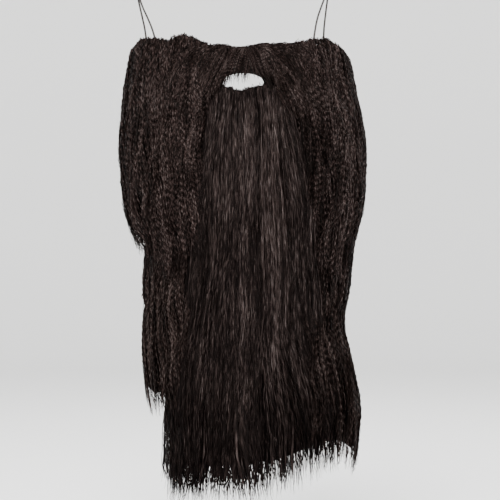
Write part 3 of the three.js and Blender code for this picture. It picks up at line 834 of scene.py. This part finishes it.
moustacheHair = {
    **straightHair, "step": 0.0026, "crimp": 0.0003, "kink": 0.0005, "wave": 0.05, "point": 0.008, "clumps": 8,
    "ends": (0.96, 1.12), "ragged": 0.25, "rootStart": 0.014, "spread": 0.001, "cross": 0.0002,
    "flows": [(0.0008, 0.05, 0.3)], "dips": (12, 0.0015, 0.2, 0.007, 0.07),
}
moustacheSheet = {
    "layers": layers["moustache"], "taper": tapers["straight"], "sweep": 0.75, "fall": 1.5, "stretch": 1.25,
    "heart": {"from": 0.18, "fill": 0.75}, "raise": 0.002,
}
cheekSheet = {
    "layers": layers["cheek"], "taper": tapers["straight"], "sweep": 1, "fall": 1, "stretch": 1.05,
}
underSheet = {
    "layers": layers["under"], "taper": tapers["full"], "sweep": 1, "fall": 1, "stretch": 1.05,
    "heart": {"to": 0.95, "point": 0.2, "fill": 0.93}, "lining": (14, 24),
}

# Stray hairs of the tiers.
moustacheFly = {
    "count": 60, "rows": 12, "from": 0.1, "to": 0.8, "length": (0.012, 0.03), "peel": (0.001, 0.004),
    "curl": 0.0002, "width": 0.00035,
}
cheekFly = {
    "count": 420, "rows": 14, "from": 0.02, "to": 0.85, "length": (0.015, 0.035), "peel": (0.001, 0.007),
    "curl": 0.0004, "width": 0.0003, "outerShare": 0.55,
}
underFly = {
    "count": 120, "rows": 16, "from": 0.4, "to": 0.9, "length": (0.02, 0.04), "peel": (0.001, 0.004),
    "curl": 0.0004, "width": 0.00035, "outerShare": 0.4,
}

# Each tier. A lock is root and tip in quarter turns, top and low as shares of the hair's rise or length, and width
# as a share of lockWidth.
tiers = {
    "moustache_left": {
        "finish": "moustache", "slot": "moustache_hair",
        "sheets": [{
            **moustacheSheet,
            "locks": [
                (-0.035, -0.2, 0.5, -0.07, 0.5), (-0.05, -0.29, 0.66, -0.09, 0.5),
                (-0.1, -0.36, 0.75, -0.109, 0.6), (-0.155, -0.44, 0.82, -0.129, 0.65),
                (-0.22, -0.52, 0.86, -0.143, 0.7),
            ],
            "hair": {**moustacheHair, "strands": 130, "veil": 760, "veilClumps": 120, "seed": 11},
            "veilLocks": [
                (0.03, -0.02, 0.74, 0.04), (0.0, -0.1, 0.72, -0.005), (-0.03, -0.19, 0.71, -0.05),
                (-0.065, -0.28, 0.775, -0.09), (-0.11, -0.37, 0.795, -0.12), (-0.165, -0.46, 0.755, -0.135),
                (-0.22, -0.52, 0.74, -0.145), (-0.28, -0.57, 0.84, -0.15),
            ],
        }],
        "fly": moustacheFly,
        "seed": 21,
    },
    "moustache_right": {
        "finish": "moustache", "slot": "moustache_hair",
        "sheets": [{
            **moustacheSheet,
            "locks": [
                (0.035, 0.19, 0.52, -0.07, 0.5), (0.055, 0.29, 0.68, -0.093, 0.5),
                (0.105, 0.39, 0.76, -0.118, 0.6), (0.16, 0.49, 0.8, -0.14, 0.7),
                (0.23, 0.59, 0.83, -0.15, 0.7),
            ],
            "hair": {**moustacheHair, "strands": 150, "veil": 820, "veilClumps": 130, "seed": 12},
            "veilLocks": [
                (-0.03, 0.07, 0.73, 0.16), (0.0, 0.14, 0.75, 0.08), (0.02, 0.21, 0.775, -0.06),
                (0.035, 0.29, 0.79, -0.09), (0.055, 0.37, 0.81, -0.11), (0.085, 0.45, 0.83, -0.13),
                (0.13, 0.53, 0.82, -0.145), (0.2, 0.59, 0.825, -0.15), (0.3, 0.62, 0.86, -0.155),
            ],
        }],
        "fly": moustacheFly,
        "seed": 22,
    },
    "chin_fall": {
        "finish": "straight", "slot": "straight_hair",
        "sheets": [
            {
                "layers": layers["chinFront"], "taper": tapers["fan"], "sweep": 1.4, "fall": 1, "stretch": 1.05,
                "heart": {"to": 0.9, "point": 0.15},
                "locks": [
                    (-0.24, -0.62, -0.038, -0.99, 0.9), (-0.17, -0.52, -0.036, -0.975, 1),
                    (-0.1, -0.33, -0.034, -1, 1), (-0.03, -0.14, -0.033, -0.985, 1),
                    (0.04, 0.04, -0.033, -0.995, 1), (0.11, 0.23, -0.034, -0.97, 1),
                    (0.18, 0.43, -0.036, -0.94, 1), (0.25, 0.63, -0.038, -0.905, 0.95),
                ],
                "lining": (30, 26),
                # painted shade at the strands' roots under the mouth
                "rootShade": 0.45,
                "hair": {
                    **straightHair, "strands": 270, "veil": 1330, "veilClumps": 360,
                    "ends": (1.0, 1.038), "ragged": 0.08, "seed": 13,
                },
                "veilLocks": [
                    (-0.18, -0.65, -0.03, -1.012), (-0.13, -0.5, -0.018, -1.008), (-0.075, -0.32, -0.015, -1.01),
                    (-0.02, -0.14, -0.026, -1.006), (0.04, 0.04, -0.014, -1.006), (0.105, 0.23, -0.009, -0.99),
                    (0.17, 0.43, -0.012, -0.96), (0.235, 0.68, -0.018, -0.923),
                ],
                # partings and dips sink the sheet and get painted shade
                "partings": [(-0.3, 0.0015, 0.6), (2.4, 0.0012, 0.2), (4.36, 0.004, 0.13)],
                "dips": [(7.4, 0.06, 0.4, 0.05, 0.003, 0)],
                # painted light: lighter patches across the sheet
                "paintedLightPatches": [(3.55, 0.3, 0.22), (5.6, 0.9, 0.16)],
            },
            {
                "layers": layers["chinBack"], "taper": tapers["fan"], "sweep": 1.2, "fall": 1, "stretch": 1.05,
                "heart": {"to": 0.9, "point": 0.15},
                "locks": [
                    (-0.23, -0.58, -0.037, -0.985, 2), (-0.07, -0.26, -0.035, -0.985, 2.1),
                    (0.07, 0.16, -0.035, -0.98, 2.1), (0.23, 0.54, -0.037, -0.92, 2.1),
                ],
                "hair": {
                    **straightHair, "strands": 280, "behind": 0.7, "width": 0.0016, "step": 0.009,
                    "veil": 0, "sink": 0, "seed": 14,
                },
            },
        ],
        "fly": {"count": 160, "rows": 16, "from": 0.05, "to": 0.9, "length": (0.03, 0.07), "peel": (0.001, 0.005),
                "curl": 0.0003, "width": 0.0004},
        "seed": 23,
    },
    "cheek_fall_left": {
        "finish": "crimped", "slot": "crimped_hair",
        "sheets": [{
            **cheekSheet,
            "lining": (30, 24),
            "locks": [
                (-0.955, -0.93, 0.74, -0.335, 0.95), (-0.835, -0.83, 0.9, -0.365, 1.05),
                (-0.715, -0.725, 0.97, -0.39, 1.05), (-0.595, -0.62, 1, -0.46, 1.05),
                (-0.475, -0.52, 1, -0.46, 1.05), (-0.35, -0.42, 0.94, -0.4, 1.2),
            ],
            "hair": {**crimpedHair, "veil": 830, "seed": 15},
            "veilLocks": [
                (-1.06, -1.04, 0.77, -0.36), (-0.97, -0.955, 0.84, -0.385), (-0.87, -0.87, 0.937, -0.41),
                (-0.77, -0.78, 1.04, -0.43), (-0.68, -0.69, 1.055, -0.445), (-0.6, -0.62, 1.03, -0.46),
                (-0.54, -0.57, 0.985, -0.48),
                (-0.49, -0.53, 0.945, -0.48), (-0.43, -0.48, 1.03, -0.47), (-0.37, -0.43, 1.08, -0.44),
                (-0.31, -0.38, 1, -0.42), (-0.255, -0.33, 0.9, -0.39), (-0.2, -0.29, 0.8, -0.34),
            ],
            "raise": 0.001,
            "puff": [(0, 0.003), (0.1, 0.003), (0.4, 0.002), (0.8, 0.006), (1, 0.008)],
        }],
        "fly": {**cheekFly, "outerLock": 0},
        "seed": 24,
    },
    "cheek_fall_right": {
        "finish": "crimped", "slot": "crimped_hair",
        "sheets": [{
            **cheekSheet,
            "lining": (28, 24),
            # a dip that sinks the sheet and gets painted shade
            "dips": [(-0.3, 0.085, 0.5, 0.04, 0.0035, 0)],
            # painted light: a lighter patch across the sheet
            "paintedLightPatches": [(5.5, 4, 0.12)],
            "locks": [
                (0.35, 0.43, 0.9, -0.4, 1.25), (0.475, 0.54, 0.93, -0.45, 1.05), (0.595, 0.64, 0.97, -0.5, 1.05),
                (0.715, 0.74, 0.96, -0.54, 1.05), (0.835, 0.84, 0.89, -0.56, 1.05), (0.955, 0.93, 0.74, -0.5, 0.95),
            ],
            "hair": {**crimpedHair, "strands": 280, "veil": 760, "seed": 16},
            "veilLocks": [
                (0.34, 0.41, 0.9, -0.42), (0.41, 0.48, 0.96, -0.44), (0.48, 0.54, 0.99, -0.47),
                (0.54, 0.6, 1.01, -0.5), (0.6, 0.65, 1.01, -0.52), (0.67, 0.71, 0.935, -0.54),
                (0.73, 0.77, 0.88, -0.56), (0.8, 0.83, 0.83, -0.58), (0.87, 0.88, 0.77, -0.59),
                (0.96, 0.95, 0.72, -0.56), (1.05, 1.03, 0.68, -0.53),
            ],
            "puff": [(0, 0.005), (0.1, 0.008), (0.25, 0.006), (0.5, 0.004), (1, 0.006)],
        }],
        "fly": {**cheekFly, "outerLock": 5},
        "seed": 25,
    },
    "under_fall_left": {
        "finish": "under", "slot": "crimped_hair",
        "sheets": [{
            **underSheet,
            "locks": [
                (-0.86, -0.9, -0.06, -0.765, 1), (-0.73, -0.75, -0.07, -0.8, 1.1),
                (-0.6, -0.6, -0.08, -0.81, 1.1), (-0.48, -0.46, -0.09, -0.82, 1.1),
            ],
            "hair": {**crimpedHair, "strands": 190, "veil": 260, "seed": 17},
            "veilLocks": [
                (-0.86, -0.93, -0.06, -0.805), (-0.73, -0.76, -0.07, -0.815), (-0.6, -0.6, -0.08, -0.812),
                (-0.48, -0.46, -0.09, -0.83),
            ],
            "puff": [(0, 0), (0.5, 0.001), (1, 0.002)],
        }],
        "fly": {**underFly, "outerLock": 0},
        "seed": 26,
    },
    "under_fall_right": {
        "finish": "under", "slot": "crimped_hair",
        "sheets": [{
            **underSheet, "sweep": 1.2,
            "locks": [
                (0.48, 0.54, -0.09, -0.92, 1.1), (0.6, 0.68, -0.08, -0.9, 1.1),
                (0.73, 0.82, -0.07, -0.905, 1.1), (0.86, 0.96, -0.06, -0.9, 1.2),
            ],
            "hair": {**crimpedHair, "strands": 190, "veil": 340, "seed": 18},
            "veilLocks": [
                (0.46, 0.5, -0.09, -0.94), (0.6, 0.66, -0.08, -0.94), (0.73, 0.82, -0.07, -0.965),
                (0.86, 0.98, -0.06, -0.925),
            ],
            "puff": [(0, 0), (0.5, 0.002), (0.8, 0.004), (1, 0.009)],
        }],
        "fly": {**underFly, "outerLock": 3},
        "seed": 27,
    },
}

for name, tier in tiers.items():
    bundle = Bundle()
    number = 0
    for sheet in tier["sheets"]:
        locks = Locks(sheet)
        addHearts(bundle, locks, {**heart, **sheet.get("heart", {})})
        dice = np.random.default_rng(sheet["hair"]["seed"])
        number = coverLocks(bundle, locks, sheet["hair"], dice, number)
        if sheet["hair"]["veil"]:
            number = addVeil(bundle, sheet, sheet["hair"], dice, number)
    number = addFlyaways(bundle, locks, tier["fly"], np.random.default_rng(tier["seed"]), number)
    hair = bundle.piece(name + "_hair", finishes[tier["finish"]])
    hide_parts(name)


# Backing: dark woven cloth.
cloth = {
    "dark": (0.0016, 0.0013, 0.0012), "light": (0.014, 0.0115, 0.0105), "threadsPerMetre": 620,
    "stitchRows": 95,  # in a metre
}


def clothFinish():
    finish = Finish("backing_cloth", {"Specular IOR Level": 0.25, "Sheen Weight": 0.15})
    place = finish.node("ShaderNodeTexCoord", None, None, 3)
    x, y, z = finish.split(place)
    rate = cloth["threadsPerMetre"] * math.pi
    weave = finish.sine((x + y * 0.6) * rate) * finish.sine(z * rate) * 0.5 + 0.5
    worn = finish.noise(place, 60, 4)
    rows = finish.sine((z + worn * 0.0012) * cloth["stitchRows"] * 2 * math.pi)
    stitch = (rows * 0.5 + 0.5) ** 14
    tone = weave * 0.6 + worn * 0.4 - stitch * 0.5
    finish.feed("Base Color", finish.ramp(tone, [(0.2, cloth["dark"]), (0.8, cloth["light"])]))
    finish.feed("Roughness", 0.95 - weave * 0.15)
    finish.feed("Normal", finish.bump(weave - stitch * 2, 0.7, 0.0004))
    return finish


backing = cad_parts["backing"]
backing.data.materials.clear()
backing.data.materials.append(clothFinish().material)
print("hair and backing made")

# Studio: a pale round cove with soft light from above and in front.
studio = {
    "floor": -0.4,
    "radius": 3.6,
    "bend": 0.9,
    "height": 3.2,
    "colour": (0.95, 0.95, 0.945),
    "world": 1,
    "lamps": [
        # name, azimuth, elevation, distance, size, watts
        ("key", -18, 36, 1.9, 1.1, 95),
        ("fill", 28, 12, 2.1, 1.4, 40),
        ("top", 160, 62, 1.8, 1.0, 30),
    ],
}


def addStudio():
    bend = np.linspace(0, quarterTurn, 14)
    inner = studio["radius"] - studio["bend"]
    reach = np.concatenate([[0.0], inner + studio["bend"] * np.sin(bend), [studio["radius"]]])
    rise = np.concatenate([[0.0], studio["bend"] * (1 - np.cos(bend)), [studio["height"]]])
    sides = 96
    turn = np.arange(sides) / sides * 2 * math.pi
    points = [(0, 0, studio["floor"])]
    for far, high in zip(reach[1:], rise[1:]):
        points += [(far * math.cos(a), far * math.sin(a), studio["floor"] + high) for a in turn]
    faces = [(0, 1 + i, 1 + (i + 1) % sides) for i in range(sides)]
    for row in range(len(reach) - 2):
        for i in range(sides):
            a, b = 1 + row * sides + i, 1 + row * sides + (i + 1) % sides
            faces.append((a, b, b + sides, a + sides)[::-1])
    data = bpy.data.meshes.new("cove")
    data.from_pydata(points, [], faces)
    data.polygons.foreach_set("use_smooth", [True] * len(faces))
    finish = Finish("cove", {"Roughness": 0.9, "Specular IOR Level": 0.1})
    finish.feed("Base Color", (*studio["colour"], 1))
    data.materials.append(finish.material)
    cove = bpy.data.objects.new("cove", data)
    bpy.context.scene.collection.objects.link(cove)

    world = bpy.data.worlds.new("studio")
    world.use_nodes = True
    world.node_tree.nodes["Background"].inputs[0].default_value = (1, 1, 1, 1)
    world.node_tree.nodes["Background"].inputs[1].default_value = studio["world"]
    bpy.context.scene.world = world

    aim = Vector(cameraPlace["aim"])
    for name, azimuth, elevation, distance, size, watts in studio["lamps"]:
        a, e = math.radians(azimuth), math.radians(elevation)
        way = Vector((math.sin(a) * math.cos(e), -math.cos(a) * math.cos(e), math.sin(e)))
        data = bpy.data.lights.new(name, "AREA")
        data.size = size
        data.energy = watts
        lamp = bpy.data.objects.new(name, data)
        lamp.location = aim + way * distance
        lamp.rotation_euler = way.to_track_quat("Z", "Y").to_euler()
        lamp.visible_camera = False
        bpy.context.scene.collection.objects.link(lamp)


addStudio()
print("studio made")
